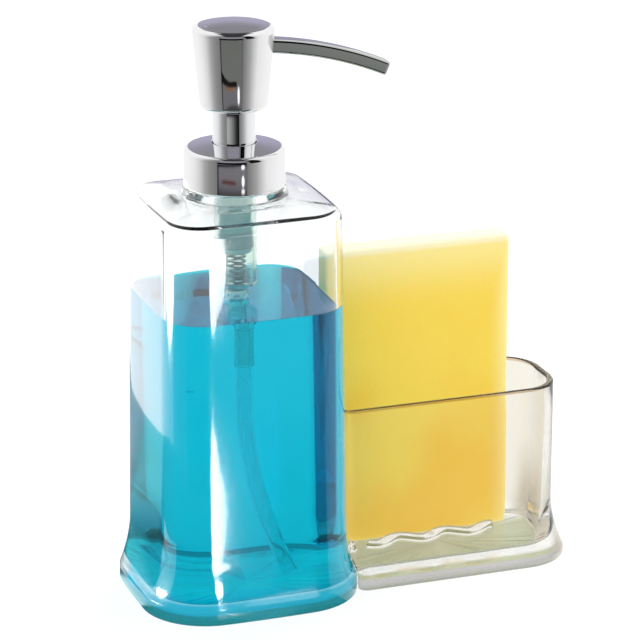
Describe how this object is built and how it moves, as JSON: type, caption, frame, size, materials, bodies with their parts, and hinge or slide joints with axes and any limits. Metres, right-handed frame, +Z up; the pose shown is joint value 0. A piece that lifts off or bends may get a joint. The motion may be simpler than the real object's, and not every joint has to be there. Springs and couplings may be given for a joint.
{
  "type": "soap pump caddy",
  "caption": "Clear rounded-square soap bottle with a chrome press pump and drooping spout, bonded to a low clear tub that holds an upright sponge.",
  "frame": {"origin": "pump axis on the flat underside of the base plate", "axes": "+Z up along the pump axis, +X from the bottle towards the tub and along the spout, -Y the front"},
  "size_m": [0.1571, 0.0708, 0.1987],
  "materials": {
    "clear_body": "clear polished acrylic",
    "clear_base": "clear polished acrylic, thick edge",
    "blue_soap": "clear blue liquid soap",
    "clear_tub": "clear polished acrylic",
    "frosted_plastic": "translucent natural polypropylene",
    "soft_seal": "soft moulded seal",
    "white_plastic": "natural moulded plastic",
    "grey_plastic": "grey moulded plastic",
    "piston_plastic": "tinted moulded plastic",
    "clear_tube": "translucent polyethylene tube",
    "chrome_sleeve": "mirror chrome",
    "chrome_collar": "mirror chrome",
    "chrome_head": "mirror chrome",
    "chrome_spout": "mirror chrome",
    "spring_steel": "drawn stainless wire",
    "ball_steel": "polished stainless ball",
    "yellow_sponge": "fine-pored yellow cellulose sponge"
  },
  "bodies": {
    "caddy": {"bottle_shell": "clear_body", "bottle_base": "clear_base", "soap_fill": "blue_soap", "sponge_tub": "clear_tub"},
    "pump": {"pump_cylinder": "frosted_plastic", "cylinder_gasket": "soft_seal", "stem_guide": "white_plastic", "stem_sleeve": "chrome_sleeve", "dip_tube": "clear_tube", "ball_cage": "white_plastic", "return_spring": "spring_steel"},
    "collar": {"collar_cap": "chrome_collar", "collar_ring": "white_plastic"},
    "plunger": {"piston": "piston_plastic", "piston_seal": "soft_seal", "piston_stem": "white_plastic"},
    "head": {"head_shell": "chrome_head", "head_core": "white_plastic", "head_ring": "grey_plastic", "spout": "chrome_spout"},
    "inlet_valve": {"inlet_ball": "ball_steel"},
    "outlet_valve": {"outlet_ball": "ball_steel"},
    "sponge": {"sponge": "yellow_sponge"}
  },
  "joints": [
    {"name": "pump_lift", "type": "slide", "parent": "caddy", "child": "pump", "axis": [0, 0, 1], "range_m": [0, 0.00525]},
    {"name": "collar_turn", "type": "hinge", "parent": "pump", "child": "collar", "pos_m": [0, 0, 0.15], "axis": [0, 0, 1], "range_deg": [0, 450]},
    {"name": "pump_press", "type": "slide", "parent": "pump", "child": "plunger", "axis": [0, 0, 1], "range_m": [-0.0105, 0], "stiffness_N_per_m": 400, "springref_m": 0.012, "deforming": ["return_spring"]},
    {"name": "head_swivel", "type": "hinge", "parent": "plunger", "child": "head", "pos_m": [0, 0, 0.18], "axis": [0, 0, 1], "continuous": true},
    {"name": "inlet_lift", "type": "slide", "parent": "pump", "child": "inlet_valve", "axis": [0, 0, 1], "range_m": [0, 0.0012]},
    {"name": "outlet_lift", "type": "slide", "parent": "plunger", "child": "outlet_valve", "axis": [0, 0, 1], "range_m": [0, 0.0015]},
    {"name": "sponge_lift", "type": "slide", "parent": "caddy", "child": "sponge", "axis": [0, 0, 1], "range_m": [0, 0.065]}
  ],
  "couplings": [
    {"joint": "collar_turn", "follows": "pump_lift", "rad_per_m": 1496}
  ]
}
